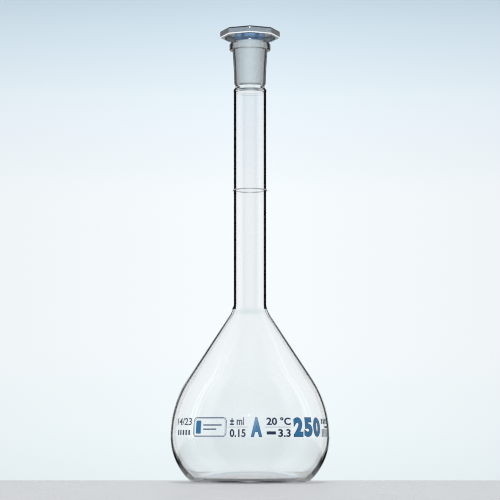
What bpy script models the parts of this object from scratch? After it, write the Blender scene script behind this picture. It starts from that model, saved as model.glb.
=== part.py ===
"""Volumetric flask for 250 ml, with a ground socket and an octagonal stopper.

The glass is three blown or drawn pieces that a glassblower fuses end to end: a
bulb, a neck tube and a ground socket.  The ring mark and the print are enamel
fired onto the outside.  The stopper is a hollow blue cone under a wide head.

Turned pieces are outlines in the r-z plane, spun about the flask's axis.  The
origin is the centre of the ring the flask stands on, +Z runs up the axis, and
the print faces -Y.  Lengths are in metres.
"""
import math

import bmesh
import bpy
from mathutils import Vector

MM = 0.001
SIDES = 40  # facets round a turned piece

# Bulb.  Its outline is a cone, a shoulder arc down to the equator, a lower arc
# and a heel arc.  The wall is thinnest at the equator, where the glass was
# blown out most, and thickest at the heel.
BULB_R = 39.75 * MM
EQUATOR_Z = 22.5 * MM
CONE_ANGLE = math.radians(33.6)  # between the cone's side and the axis
CONE_TOP_Z = 86.6 * MM  # where the cone's side would meet the neck's
LOWER_R = 29.4 * MM
HEEL_R = 6.0 * MM
CONTACT_WIDTH = 2.5 * MM  # the flat ring the flask stands on
PUSH_UP = 3.0 * MM  # how far the middle of the base is pushed up
WALL_CONE = 1.0 * MM
WALL_EQUATOR = 0.95 * MM
WALL_LOWER = 1.6 * MM
WALL_HEEL = 2.8 * MM
WALL_BASE = 2.3 * MM

# Neck tube, with a hollow curve where it widens into the bulb
NECK_R = 8.1 * MM
NECK_BORE_R = 7.3 * MM
NECK_FILLET_R = 9.5 * MM
NECK_TOP_LENGTH = 2.0 * MM  # where the bore narrows to meet the socket's

# Fused seams
BULB_SEAM_ANGLE = math.radians(19.6)  # how far round the hollow curve the seam is
SOCKET_SEAM_Z = 196.4 * MM
SEAM_GAP = 0.3 * MM
SEAM_BEAD = 0.35 * MM  # how far the seam's ridge stands out

# Ground socket, size 14/23: 14.5 mm wide at the mouth, 23 mm long, and one in
# ten narrower in diameter towards the bottom
RIM_Z = 219.5 * MM
MOUTH_R = 7.25 * MM
TAPER = 0.05
GROUND_LENGTH = 23.0 * MM
LIP_CHAMFER = 0.35 * MM
COLLAR_R = 10.25 * MM
COLLAR_HEIGHT = 3.8 * MM
COLLAR_BEVEL_R = 0.75 * MM
COLLAR_BEVEL_Z = 1.0 * MM
COLLAR_EDGE = 0.3 * MM
SOCKET_TOP_R = 8.55 * MM
SOCKET_MIDDLE_R = 8.1 * MM
SOCKET_FOOT_R = 7.85 * MM
WAIST_R = 7.4 * MM
WAIST_ABOVE_SEAM = 1.1 * MM
SOCKET_FOOT_ABOVE_SEAM = 2.2 * MM

# Ring mark
RING_MARK_Z = 145.8 * MM
RING_MARK_HEIGHT = 0.6 * MM
RING_MARK_THICKNESS = 0.45 * MM
RING_MARK_GAP = 0.1 * MM

# Stopper.  Heights are above the rim.
HEAD_ACROSS_CORNERS = 29.8 * MM
HEAD_BOTTOM = 2.4 * MM
HEAD_TOP = 5.8 * MM
HEAD_RECESS_R = 12.6 * MM
HEAD_RECESS_DEPTH = 2.0 * MM
SPIGOT_R = 5.3 * MM
SPIGOT_LENGTH = 6.0 * MM
PLUG_WALL = 1.5 * MM
PLUG_LENGTH = 21.5 * MM  # below the rim
PLUG_CHAMFER = 0.5 * MM
PLUG_CLEARANCE = 0.08 * MM
PRESS_GAP = 0.3 * MM

# Print, on the bulb's front just above the equator
PRINT_GAP = 0.3 * MM
PRINT_THICKNESS = 0.2 * MM
PRINT_Z = 27.4 * MM  # middle of the printed band
PRINT_HEIGHT = 9.6 * MM
PRINT_STEP = 2.4 * MM  # longest flat stretch of a print that wraps round the bulb
GLYPH_RESOLUTION = 2
FRAME_LINE = 0.7 * MM
FRAME_CORNER = 2.0 * MM
PLATE_CORNER = 0.7 * MM

# name, character, angles of its left and right edges from the front, in degrees
GLYPHS = (
    ("enamel_class_letter", "A", 0.7, 8.3),
    ("enamel_digit_2", "2", 32.1, 40.4),
    ("enamel_digit_5", "5", 41.8, 49.9),
    ("enamel_digit_0", "0", 51.3, 59.8),
)
FIELDS = (
    ("enamel_tolerance", -15.1, -1.5),
    ("enamel_temperature", 10.4, 30.4),
)
DARK_FIELDS = (
    ("enamel_joint_size", -64.6, -45.4),
    ("enamel_unit", 62.0, 77.5),
)
MARKING_FRAME = ("enamel_marking_frame", -43.8, -16.6)

# Worked out from the sizes above
SHOULDER_R = (
    math.tan(CONE_ANGLE) * (CONE_TOP_Z - EQUATOR_Z) - (BULB_R - NECK_R)
) / (1 / math.cos(CONE_ANGLE) - 1)
SHOULDER_CENTRE_R = BULB_R - SHOULDER_R
LOWER_CENTRE_R = BULB_R - LOWER_R
HEEL_RISE = EQUATOR_Z - HEEL_R
HEEL_CENTRE_R = LOWER_CENTRE_R + math.sqrt((LOWER_R - HEEL_R) ** 2 - HEEL_RISE**2)
HEEL_ANGLE = math.atan2(HEEL_RISE, HEEL_CENTRE_R - LOWER_CENTRE_R)
DOME_EDGE_R = HEEL_CENTRE_R - CONTACT_WIDTH
DOME_R = (DOME_EDGE_R**2 + PUSH_UP**2) / (2 * PUSH_UP)
DOME_ANGLE = math.asin(DOME_EDGE_R / DOME_R)
FILLET_CENTRE_R = NECK_R + NECK_FILLET_R
FILLET_Z = CONE_TOP_Z + NECK_FILLET_R * math.tan(CONE_ANGLE / 2)
SEAM_GAP_ANGLE = SEAM_GAP / NECK_FILLET_R
BEAD_ANGLE = 2 * SEAM_BEAD / NECK_FILLET_R


def material(name, colour, roughness, alpha=1.0, transmission=0.0):
    """A Principled material, made once and then shared."""
    made = bpy.data.materials.get(name)
    if made:
        return made
    made = bpy.data.materials.new(name)
    made.use_nodes = True
    shader = made.node_tree.nodes["Principled BSDF"]
    shader.inputs["Base Color"].default_value = (*colour, 1.0)
    shader.inputs["Roughness"].default_value = roughness
    shader.inputs["Metallic"].default_value = 0.0
    shader.inputs["Alpha"].default_value = alpha
    shader.inputs["Transmission Weight"].default_value = transmission
    return made


def clear_glass():
    return material("clear_glass", (0.90, 0.95, 0.95), 0.02, 0.35, 1.0)


def ground_glass():
    return material("ground_glass", (0.72, 0.78, 0.80), 0.45, 0.6, 0.8)


def ring_enamel():
    return material("ring_enamel", (0.55, 0.56, 0.58), 0.4)


def blue_enamel():
    return material("blue_enamel", (0.02, 0.16, 0.45), 0.35)


def dark_enamel():
    return material("dark_enamel", (0.05, 0.07, 0.14), 0.35)


def head_plastic():
    return material("head_plastic", (0.45, 0.52, 0.58), 0.35)


def plug_plastic():
    return material("plug_plastic", (0.22, 0.38, 0.62), 0.3)


def arc(centre_r, centre_z, radius, start, end, steps, wall_start=0.0, wall_end=0.0):
    """Points of an arc from angle start to end, measured from straight outward.

    The wall changes evenly along the arc and is taken off its radius, so the
    same call gives the outside of a wall or, with the wall's two thicknesses,
    its inside.
    """
    points = []
    for step in range(steps + 1):
        share = step / steps
        angle = start + (end - start) * share
        reach = radius - wall_start - (wall_end - wall_start) * share
        points.append((centre_r + reach * math.cos(angle), centre_z + reach * math.sin(angle)))
    return points


def bulb_below_cone(inside):
    """The bulb's outline from its cone down to the axis: inside is 1 for the inside of its wall, or 0."""
    cone_wall = WALL_CONE * inside
    equator_wall = WALL_EQUATOR * inside
    lower_wall = WALL_LOWER * inside
    heel_wall = WALL_HEEL * inside
    base_wall = WALL_BASE * inside
    top = math.pi / 2
    # The dome has its centre outside the glass, so a wall adds to its radius.
    points = (
        arc(SHOULDER_CENTRE_R, EQUATOR_Z, SHOULDER_R, CONE_ANGLE, 0, 7, cone_wall, equator_wall)
        + arc(LOWER_CENTRE_R, EQUATOR_Z, LOWER_R, 0, -HEEL_ANGLE, 5, equator_wall, lower_wall)[1:]
        + arc(HEEL_CENTRE_R, HEEL_R, HEEL_R, -HEEL_ANGLE, -top, 3, lower_wall, heel_wall)[1:]
        + arc(0, PUSH_UP - DOME_R, DOME_R, top - DOME_ANGLE, top, 4, -heel_wall, -base_wall)
    )
    return points[:-1] + [(0.0, points[-1][1])]


def seam_bead(angle):
    """The ridge's crest on the hollow curve's outside, at an angle round that curve."""
    return arc(FILLET_CENTRE_R, FILLET_Z, NECK_FILLET_R, angle, angle, 1, SEAM_BEAD, SEAM_BEAD)[0]


def mouth_radius(z, clearance=0.0):
    """Radius of the ground bore at a height, less a clearance for what goes into it."""
    return MOUTH_R - TAPER * (RIM_Z - z) - clearance


def set_parent(piece, parent):
    piece.parent = parent
    return piece


def new_object(name, data, collection, finish=None):
    piece = bpy.data.objects.new(name, data)
    collection.objects.link(piece)
    if finish:
        data.materials.append(finish)
    return piece


def turned(name, outline, collection, finish=None, closed=True):
    """Spins an outline that runs down its outer side about Z.  An open one starts and ends on the axis."""
    count = len(outline)
    edges = [(i, i + 1) for i in range(count - 1)]
    if closed:
        edges.append((count - 1, 0))
    mesh = bpy.data.meshes.new(name)
    mesh.from_pydata([(r, 0, z) for r, z in outline], edges, [])
    piece = new_object(name, mesh, collection, finish)
    screw = piece.modifiers.new("spin", "SCREW")
    screw.axis = "Z"
    screw.steps = SIDES
    screw.render_steps = SIDES
    screw.use_merge_vertices = True
    screw.merge_threshold = 0.00001
    screw.use_smooth_shade = True
    return piece


def build_bulb(collection):
    """One outline: from the axis out and up the inside, over the seam, and down the outside to the axis."""
    neck_wall = NECK_R - NECK_BORE_R
    seam = math.pi + BULB_SEAM_ANGLE + SEAM_GAP_ANGLE / 2
    bead_end = math.pi + BULB_SEAM_ANGLE + BEAD_ANGLE
    cone = math.pi + CONE_ANGLE
    # The hollow curve has its centre outside the glass too.
    inside = arc(FILLET_CENTRE_R, FILLET_Z, NECK_FILLET_R, seam, cone, 2, -neck_wall, -WALL_CONE)
    inside += bulb_below_cone(1)
    outside = [seam_bead(seam)]
    outside += arc(FILLET_CENTRE_R, FILLET_Z, NECK_FILLET_R, bead_end, cone, 2)
    outside += bulb_below_cone(0)
    outline = inside[::-1] + outside
    return turned("bulb", outline, collection, clear_glass(), closed=False)


def build_neck_tube(collection):
    neck_wall = NECK_R - NECK_BORE_R
    seam = math.pi + BULB_SEAM_ANGLE - SEAM_GAP_ANGLE / 2
    top = SOCKET_SEAM_Z - SEAM_GAP / 2
    bead_end = math.pi + BULB_SEAM_ANGLE - BEAD_ANGLE
    outside = (
        [(NECK_R + SEAM_BEAD, top), (NECK_R, top - 2 * SEAM_BEAD)]
        + arc(FILLET_CENTRE_R, FILLET_Z, NECK_FILLET_R, math.pi, bead_end, 2)
        + [seam_bead(seam)]
    )
    inside = arc(FILLET_CENTRE_R, FILLET_Z, NECK_FILLET_R, seam, math.pi, 2, -neck_wall, -neck_wall) + [
        (NECK_BORE_R, top - NECK_TOP_LENGTH),
        (mouth_radius(top), top),
    ]
    return turned("neck_tube", outside + inside, collection, clear_glass())


def build_ground_socket(collection):
    foot = SOCKET_SEAM_Z + SEAM_GAP / 2
    collar_foot = RIM_Z - COLLAR_HEIGHT
    ground_foot = RIM_Z - GROUND_LENGTH + SOCKET_FOOT_ABOVE_SEAM
    outline = [
        (MOUTH_R + LIP_CHAMFER, RIM_Z),
        (COLLAR_R - COLLAR_BEVEL_R, RIM_Z),
        (COLLAR_R, RIM_Z - COLLAR_BEVEL_Z),
        (COLLAR_R, collar_foot + COLLAR_EDGE),
        (COLLAR_R - COLLAR_EDGE, collar_foot),
        (SOCKET_TOP_R, collar_foot - COLLAR_EDGE),
        (SOCKET_MIDDLE_R, (collar_foot + ground_foot) / 2),
        (SOCKET_FOOT_R, ground_foot),
        (WAIST_R, foot + WAIST_ABOVE_SEAM),
        (NECK_R + SEAM_BEAD, foot),
        (mouth_radius(foot), foot),
        (mouth_radius(RIM_Z - LIP_CHAMFER), RIM_Z - LIP_CHAMFER),
    ]
    return turned("ground_socket", outline, collection, ground_glass())


def build_ring_mark(collection):
    inner = NECK_R + RING_MARK_GAP
    outer = inner + RING_MARK_THICKNESS
    low = RING_MARK_Z - RING_MARK_HEIGHT / 2
    high = RING_MARK_Z + RING_MARK_HEIGHT / 2
    outline = [(outer, high), (outer, low), (inner, low), (inner, high)]
    return turned("ring_mark", outline, collection, ring_enamel())


def build_stopper_head(collection, cutters):
    """An octagonal prism with a corner to the front, cut back to a recess round a central spigot."""
    bottom = HEAD_BOTTOM + HEAD_RECESS_DEPTH - SPIGOT_LENGTH
    mesh = bpy.data.meshes.new("stopper_head")
    shape = bmesh.new()
    bmesh.ops.create_cone(
        shape,
        cap_ends=True,
        segments=8,
        radius1=HEAD_ACROSS_CORNERS / 2,
        radius2=HEAD_ACROSS_CORNERS / 2,
        depth=HEAD_TOP - bottom,
    )
    bmesh.ops.translate(shape, vec=(0, 0, (HEAD_TOP + bottom) / 2), verts=shape.verts)
    shape.to_mesh(mesh)
    shape.free()
    head = new_object("stopper_head", mesh, collection, head_plastic())
    beyond = HEAD_ACROSS_CORNERS
    recess_top = HEAD_BOTTOM + HEAD_RECESS_DEPTH
    outline = [
        (HEAD_RECESS_R, recess_top),
        (HEAD_RECESS_R, HEAD_BOTTOM),
        (beyond, HEAD_BOTTOM),
        (beyond, bottom - beyond),
        (SPIGOT_R, bottom - beyond),
        (SPIGOT_R, recess_top),
    ]
    cutter = turned("stopper_head_cutter", outline, cutters)
    cutter.hide_render = True
    cutter.display_type = "WIRE"
    cut = head.modifiers.new("recess", "BOOLEAN")
    cut.operation = "DIFFERENCE"
    cut.solver = "EXACT"
    cut.object = cutter
    return head, cutter


def build_stopper_plug(collection):
    """A hollow cone that follows the ground bore, from the head's recess down; heights are above the rim."""
    top = HEAD_BOTTOM + HEAD_RECESS_DEPTH - PRESS_GAP

    def outer(height):
        return mouth_radius(RIM_Z + height, PLUG_CLEARANCE)

    outline = [
        (outer(top), top),
        (outer(PLUG_CHAMFER - PLUG_LENGTH), PLUG_CHAMFER - PLUG_LENGTH),
        (outer(-PLUG_LENGTH) - PLUG_CHAMFER, -PLUG_LENGTH),
        (outer(-PLUG_LENGTH) - PLUG_WALL, -PLUG_LENGTH),
        (outer(top) - PLUG_WALL, top),
    ]
    return turned("stopper_plug", outline, collection, plug_plastic())


def on_bulb(across, up, lift):
    """A point wrapped round the bulb's front: across and up are lengths along its surface from the equator."""
    radius = SHOULDER_R if up > 0 else LOWER_R
    slope = up / radius
    r = BULB_R - radius + (radius + lift) * math.cos(slope)
    z = EQUATOR_Z + (radius + lift) * math.sin(slope)
    turn = across / BULB_R
    return Vector((r * math.sin(turn), -r * math.cos(turn), z))


def wrapped(name, flat, left, right, finish, collection):
    """Turns a flat curve or text into a thin plate wrapped on the bulb between two angles in degrees."""
    drawn = new_object(name + "_flat", flat, collection)
    evaluated = drawn.evaluated_get(bpy.context.evaluated_depsgraph_get())
    mesh = bpy.data.meshes.new_from_object(evaluated)
    bpy.data.objects.remove(drawn)
    mesh.name = name
    shape = bmesh.new()
    shape.from_mesh(mesh)
    bmesh.ops.remove_doubles(shape, verts=shape.verts, dist=0.000001)
    low = Vector([min(v.co[i] for v in shape.verts) for i in range(3)])
    high = Vector([max(v.co[i] for v in shape.verts) for i in range(3)])
    start = math.radians(left) * BULB_R
    width = math.radians(right - left) * BULB_R
    base = PRINT_Z - EQUATOR_Z - PRINT_HEIGHT / 2
    scale = Vector((width / (high.x - low.x), PRINT_HEIGHT / (high.y - low.y), 1))
    for vertex in shape.verts:
        x, y, _ = (vertex.co - low) * scale
        vertex.co = (start + x, base + y, PRINT_GAP + (PRINT_THICKNESS if vertex.co.z > 0 else 0))
    slice_up(shape, 0, start, width)
    slice_up(shape, 1, base, PRINT_HEIGHT)
    for vertex in shape.verts:
        vertex.co = on_bulb(*vertex.co)
    bmesh.ops.recalc_face_normals(shape, faces=shape.faces)
    shape.to_mesh(mesh)
    shape.free()
    mesh.materials.clear()
    return new_object(name, mesh, collection, finish)


def slice_up(shape, direction, start, length):
    """Cuts a flat shape across one direction, so that each stretch is short enough to bend."""
    count = math.ceil(length / PRINT_STEP)
    for i in range(1, count):
        point = Vector()
        point[direction] = start + length * i / count
        normal = Vector()
        normal[direction] = 1
        everything = shape.verts[:] + shape.edges[:] + shape.faces[:]
        bmesh.ops.bisect_plane(shape, geom=everything, dist=0.000001, plane_co=point, plane_no=normal)


def glyph(name, character):
    text = bpy.data.curves.new(name, "FONT")
    text.body = character
    text.resolution_u = GLYPH_RESOLUTION
    text.extrude = PRINT_THICKNESS / 2
    return text


def outline_curve(name):
    curve = bpy.data.curves.new(name, "CURVE")
    curve.dimensions = "2D"
    curve.fill_mode = "BOTH"
    curve.extrude = PRINT_THICKNESS / 2
    return curve


def add_rectangle(curve, width, height, corner):
    """A closed rectangle about the origin, its corners cut off."""
    x = width / 2
    y = height / 2
    points = [
        (x, corner - y),
        (x, y - corner),
        (x - corner, y),
        (corner - x, y),
        (-x, y - corner),
        (-x, corner - y),
        (corner - x, -y),
        (x - corner, -y),
    ]
    spline = curve.splines.new("POLY")
    spline.points.add(len(points) - 1)
    for point, (px, py) in zip(spline.points, points):
        point.co = (px, py, 0, 1)
    spline.use_cyclic_u = True


def build_print(collection):
    blue = blue_enamel()
    pieces = [wrapped(name, glyph(name, mark), left, right, blue, collection) for name, mark, left, right in GLYPHS]
    for fields, finish in ((FIELDS, blue), (DARK_FIELDS, dark_enamel())):
        for name, left, right in fields:
            plate = outline_curve(name)
            add_rectangle(plate, math.radians(right - left) * BULB_R, PRINT_HEIGHT, PLATE_CORNER)
            pieces.append(wrapped(name, plate, left, right, finish, collection))
    name, left, right = MARKING_FRAME
    width = math.radians(right - left) * BULB_R
    frame = outline_curve(name)
    add_rectangle(frame, width, PRINT_HEIGHT, FRAME_CORNER)
    add_rectangle(frame, width - 2 * FRAME_LINE, PRINT_HEIGHT - 2 * FRAME_LINE, FRAME_CORNER)
    pieces.append(wrapped(name, frame, left, right, blue, collection))
    return pieces


def clear_scene():
    for thing in list(bpy.data.objects):
        bpy.data.objects.remove(thing)


def new_collection(name):
    collection = bpy.data.collections.new(name)
    bpy.context.scene.collection.children.link(collection)
    return collection


def build():
    clear_scene()
    parts = new_collection("volumetric_flask")
    cutters = new_collection("cutters")
    flask = new_object("flask_frame", None, parts)
    stopper = new_object("stopper_frame", None, parts)
    stopper.location.z = RIM_Z
    for piece in (
        build_bulb(parts),
        build_neck_tube(parts),
        build_ground_socket(parts),
        build_ring_mark(parts),
        *build_print(parts),
    ):
        set_parent(piece, flask)
    head, cutter = build_stopper_head(parts, cutters)
    for piece in (head, cutter, build_stopper_plug(parts)):
        set_parent(piece, stopper)


build()
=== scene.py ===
"""Looks of the volumetric flask: clear and ground glass, fired enamel print and a two-coloured stopper.

Lengths are in metres, in the frame of the CAD model: the origin is the centre of
the ring the flask stands on, +Z runs up its axis and the print faces -Y.
Outlines are lists of (radius, height) points that run down a piece's outer side.
"""
import math

import bmesh
import bpy
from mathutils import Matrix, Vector


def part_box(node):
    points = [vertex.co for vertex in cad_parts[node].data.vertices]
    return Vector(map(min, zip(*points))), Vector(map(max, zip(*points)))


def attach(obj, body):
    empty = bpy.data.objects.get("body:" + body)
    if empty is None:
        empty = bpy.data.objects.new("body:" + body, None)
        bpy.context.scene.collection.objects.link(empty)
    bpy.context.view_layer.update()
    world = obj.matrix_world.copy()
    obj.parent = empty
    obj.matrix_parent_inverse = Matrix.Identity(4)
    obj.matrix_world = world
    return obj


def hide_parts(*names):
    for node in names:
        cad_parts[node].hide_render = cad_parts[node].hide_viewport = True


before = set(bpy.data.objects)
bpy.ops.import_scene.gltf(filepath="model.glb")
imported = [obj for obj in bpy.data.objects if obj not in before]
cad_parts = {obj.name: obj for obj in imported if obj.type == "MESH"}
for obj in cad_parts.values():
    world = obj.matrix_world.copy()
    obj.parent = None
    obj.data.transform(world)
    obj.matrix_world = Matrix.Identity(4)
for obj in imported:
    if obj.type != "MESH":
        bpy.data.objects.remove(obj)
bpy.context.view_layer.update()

MM = 0.001
SEGMENTS = 192  # facets round a turned piece
SHARP = math.radians(50)  # a sharper bend than this is shaded as an edge
TINY = 1e-7  # lengths below this are none

# Sizes that the CAD model's boxes give
BULB_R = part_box("bulb")[1].x
RING_MARK_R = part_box("ring_mark")[1].x
RING_MARK_Z = (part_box("ring_mark")[0].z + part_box("ring_mark")[1].z) / 2
NECK_R = RING_MARK_R - 0.55 * MM
RIM_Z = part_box("ground_socket")[1].z
COLLAR_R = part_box("ground_socket")[1].x
HEAD_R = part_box("stopper_head")[1].x
HEAD_TOP_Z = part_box("stopper_head")[1].z
PLUG_LOW_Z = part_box("stopper_plug")[0].z

WAIST_R = 7.25 * MM
WAIST_Z = 197.7 * MM
WELD_LOW_Z = 195.5 * MM
WELD_HIGH_Z = 197.4 * MM
SEAM_BUMP_Z = 86.6 * MM
BLUE_START_Z = RIM_Z + 0.6 * MM
BLUE_END_Z = RIM_Z - 3.0 * MM

# Glass outline, as in the CAD model
EQUATOR_Z = 22.5 * MM
CONE_ANGLE = math.radians(33.6)
CONE_TOP_Z = 86.6 * MM
LOWER_R = 29.4 * MM
HEEL_R = 6.0 * MM
CONTACT_WIDTH = 2.5 * MM
PUSH_UP = 3.0 * MM
NECK_BORE_R = 7.3 * MM
NECK_FILLET_R = 9.5 * MM
BULB_SEAM_ANGLE = math.radians(19.6)
SOCKET_SEAM_Z = 196.4 * MM
MOUTH_R = 7.25 * MM
TAPER = 0.05
WALLS = {
    "neck": 0.8 * MM,
    "cone": 1.0 * MM,
    "equator": 0.95 * MM,
    "lower": 1.6 * MM,
    "heel": 2.8 * MM,
    "base": 2.3 * MM,
}

GLASS_IOR = 1.474
PLASTIC_IOR = 1.51
BULB_TINT = (0.995, 1.0, 1.0)
TUBE_TINT = (0.995, 0.995, 1.0)

SHOULDER_R = (
    math.tan(CONE_ANGLE) * (CONE_TOP_Z - EQUATOR_Z) - (BULB_R - NECK_R)
) / (1 / math.cos(CONE_ANGLE) - 1)
LOWER_CENTRE_R = BULB_R - LOWER_R
HEEL_RISE = EQUATOR_Z - HEEL_R
HEEL_CENTRE_R = LOWER_CENTRE_R + math.sqrt((LOWER_R - HEEL_R) ** 2 - HEEL_RISE**2)
HEEL_ANGLE = math.atan2(HEEL_RISE, HEEL_CENTRE_R - LOWER_CENTRE_R)
DOME_EDGE_R = HEEL_CENTRE_R - CONTACT_WIDTH
DOME_R = (DOME_EDGE_R**2 + PUSH_UP**2) / (2 * PUSH_UP)
DOME_ANGLE = math.asin(DOME_EDGE_R / DOME_R)
FILLET_CENTRE_R = NECK_R + NECK_FILLET_R
FILLET_Z = CONE_TOP_Z + NECK_FILLET_R * math.tan(CONE_ANGLE / 2)


# ---------------------------------------------------------------- shader helpers


def new_material(name):
    made = bpy.data.materials.new(name)
    made.use_nodes = True
    tree = made.node_tree
    return made, tree, tree.nodes["Principled BSDF"]


def node(tree, kind, **values):
    """A shader node with its properties and its inputs set by name."""
    made = tree.nodes.new(kind)
    for key, value in values.items():
        if hasattr(made, key):
            setattr(made, key, value)
        else:
            made.inputs[key.replace("_", " ")].default_value = value
    return made


def maths(tree, operation, first, second=0.0):
    """A Math node on outputs or numbers; its result."""
    made = node(tree, "ShaderNodeMath", operation=operation)
    for socket, value in zip(made.inputs, (first, second)):
        if isinstance(value, (int, float)):
            socket.default_value = value
        else:
            tree.links.new(value, socket)
    return made.outputs[0]


def smooth_step(tree, value, low, high):
    """0 below low and 1 above high, with a soft change between; low may be the greater."""
    made = node(tree, "ShaderNodeMapRange", interpolation_type="SMOOTHSTEP")
    made.inputs["From Min"].default_value = low
    made.inputs["From Max"].default_value = high
    tree.links.new(value, made.inputs["Value"])
    return made.outputs["Result"]


def noise(tree, scale, detail=2.0, stretch=(1, 1, 1)):
    """Noise in object space, in features per metre."""
    place = node(tree, "ShaderNodeTexCoord")
    squeeze = node(tree, "ShaderNodeMapping")
    squeeze.inputs["Scale"].default_value = stretch
    made = node(tree, "ShaderNodeTexNoise", Scale=scale, Detail=detail)
    tree.links.new(place.outputs["Object"], squeeze.inputs["Vector"])
    tree.links.new(squeeze.outputs["Vector"], made.inputs["Vector"])
    return made.outputs["Fac"]


def ramp(tree, value, *stops):
    """A colour ramp with (position, colour) stops."""
    made = node(tree, "ShaderNodeValToRGB")
    elements = made.color_ramp.elements
    while len(elements) < len(stops):
        elements.new(0.5)
    for element, (position, colour) in zip(elements, stops):
        element.position = position
        element.color = (*colour, 1.0)
    tree.links.new(value, made.inputs["Fac"])
    return made.outputs["Color"]


def multiplied(tree, first, second):
    """The product of two colours."""
    made = node(tree, "ShaderNodeMix", data_type="RGBA", blend_type="MULTIPLY")
    made.inputs["Factor"].default_value = 1.0
    tree.links.new(first, made.inputs["A"])
    tree.links.new(second, made.inputs["B"])
    return made.outputs["Result"]


def painted_outline_shade(tree, *stops):
    """Painted shade: grey that falls where a surface turns away from the eye; stops are (0 facing it to 1
    edge-on, grey).
    """
    edge = node(tree, "ShaderNodeLayerWeight", Blend=0.5)
    return ramp(tree, edge.outputs["Facing"], *[(position, (grey, grey, grey)) for position, grey in stops])


def object_height(tree):
    """How high the shaded point lies on the flask, in metres."""
    place = node(tree, "ShaderNodeTexCoord")
    parts = node(tree, "ShaderNodeSeparateXYZ")
    tree.links.new(place.outputs["Object"], parts.inputs[0])
    return parts.outputs[2]


def bump(tree, shader, height, distance):
    made = node(tree, "ShaderNodeBump", Strength=1.0, Distance=distance)
    tree.links.new(height, made.inputs["Height"])
    tree.links.new(made.outputs["Normal"], shader.inputs["Normal"])


# ---------------------------------------------------------------- materials


def glass_material(name, tint, draw_scale, draw_stretch):
    """Clear glass with the faint waviness of drawing or blowing."""
    made, tree, shader = new_material(name)
    shader.inputs["Base Color"].default_value = (*tint, 1.0)
    shader.inputs["Transmission Weight"].default_value = 1.0
    shader.inputs["Roughness"].default_value = 0.0
    shader.inputs["IOR"].default_value = GLASS_IOR
    bump(tree, shader, noise(tree, draw_scale, 1.0, draw_stretch), 0.006 * MM)
    return made


def paint_dark_outline(glass, tint, *stops, below=None):
    """Painted shade: black cards beside a tube would draw its edges dark, and here the glass's own colour is
    darkened towards its outline instead, for the eye alone.

    It can be kept to the glass below a height, where it sets in softly.
    """
    tree = glass.node_tree
    path = node(tree, "ShaderNodeLightPath")
    share = path.outputs["Is Camera Ray"]
    if below:
        share = maths(tree, "MULTIPLY", share, smooth_step(tree, object_height(tree), below, below / 3))
    mixed = node(tree, "ShaderNodeMix", data_type="RGBA")
    tree.links.new(share, mixed.inputs["Factor"])
    mixed.inputs["A"].default_value = (*tint, 1.0)
    tree.links.new(painted_outline_shade(tree, *stops), mixed.inputs["B"])
    shader = tree.nodes["Principled BSDF"]
    tree.links.new(mixed.outputs["Result"], shader.inputs["Base Color"])
    tree.links.new(mixed.outputs["Result"], shader.inputs["Specular Tint"])
    # painted shade: with the index of air there, the outline doesn't mirror the bright walls either
    bend = maths(tree, "MULTIPLY", mixed.outputs["Result"], GLASS_IOR - 1)
    tree.links.new(maths(tree, "ADD", bend, 1.0), shader.inputs["IOR"])


def ground_material():
    """The ground inside of the socket: fine pits that scatter what shows through, with painted shade that
    darkens it towards its outline.
    """
    made, tree, shader = new_material("ground_glass")
    shader.inputs["Transmission Weight"].default_value = 0.25
    shader.inputs["IOR"].default_value = GLASS_IOR
    grain = noise(tree, 9000, 2.0)
    colour = ramp(tree, grain, (0.3, (0.86, 0.95, 0.97)), (0.7, (0.90, 0.98, 1.0)))
    # painted shade: the joint falls off from its bright middle to dark sides
    shade = painted_outline_shade(tree, (0.0, 0.96), (0.10, 0.85), (0.26, 0.58), (0.45, 0.30), (0.62, 0.06))
    tree.links.new(multiplied(tree, colour, shade), shader.inputs["Base Color"])
    scratches = noise(tree, 60, 2.0, (1, 1, 40))
    both = maths(tree, "ADD", maths(tree, "MULTIPLY", grain, 0.7), maths(tree, "MULTIPLY", scratches, 0.3))
    rough = node(tree, "ShaderNodeMapRange", To_Min=0.46, To_Max=0.52)
    tree.links.new(both, rough.inputs["Value"])
    tree.links.new(rough.outputs["Result"], shader.inputs["Roughness"])
    bump(tree, shader, grain, 0.002 * MM)
    return made


def weld_material():
    """The meeting faces inside a fused seam, where there is nothing to see."""
    made, tree, shader = new_material("fused_inside")
    clear = node(tree, "ShaderNodeBsdfTransparent")
    tree.links.new(clear.outputs[0], tree.nodes["Material Output"].inputs["Surface"])
    tree.nodes.remove(shader)
    return made


def enamel_material(name, dark, light):
    """Fired enamel: a fine grain, a little uneven in cover."""
    made, tree, shader = new_material(name)
    cover = noise(tree, 2600, 3.0)
    tree.links.new(ramp(tree, cover, (0.3, dark), (0.7, light)), shader.inputs["Base Color"])
    shader.inputs["Roughness"].default_value = 0.35
    bump(tree, shader, noise(tree, 9000, 2.0), 0.01 * MM)
    return made


def plug_material():
    """See-through polyethylene: blue under the head, colourless where it sits in the joint."""
    made, tree, shader = new_material("plug_polyethylene")
    depth = node(tree, "ShaderNodeMapRange", From_Min=BLUE_END_Z, From_Max=BLUE_START_Z)
    tree.links.new(object_height(tree), depth.inputs["Value"])
    colour = ramp(tree, depth.outputs["Result"], (0.0, (0.93, 0.95, 0.97)), (1.0, (0.40, 0.60, 0.90)))
    tree.links.new(colour, shader.inputs["Base Color"])
    shader.inputs["Transmission Weight"].default_value = 0.85
    shader.inputs["IOR"].default_value = PLASTIC_IOR
    haze = node(tree, "ShaderNodeMapRange", To_Min=0.20, To_Max=0.28)
    tree.links.new(noise(tree, 700, 3.0, (1, 1, 3)), haze.inputs["Value"])
    tree.links.new(haze.outputs["Result"], shader.inputs["Roughness"])
    return made


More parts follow.
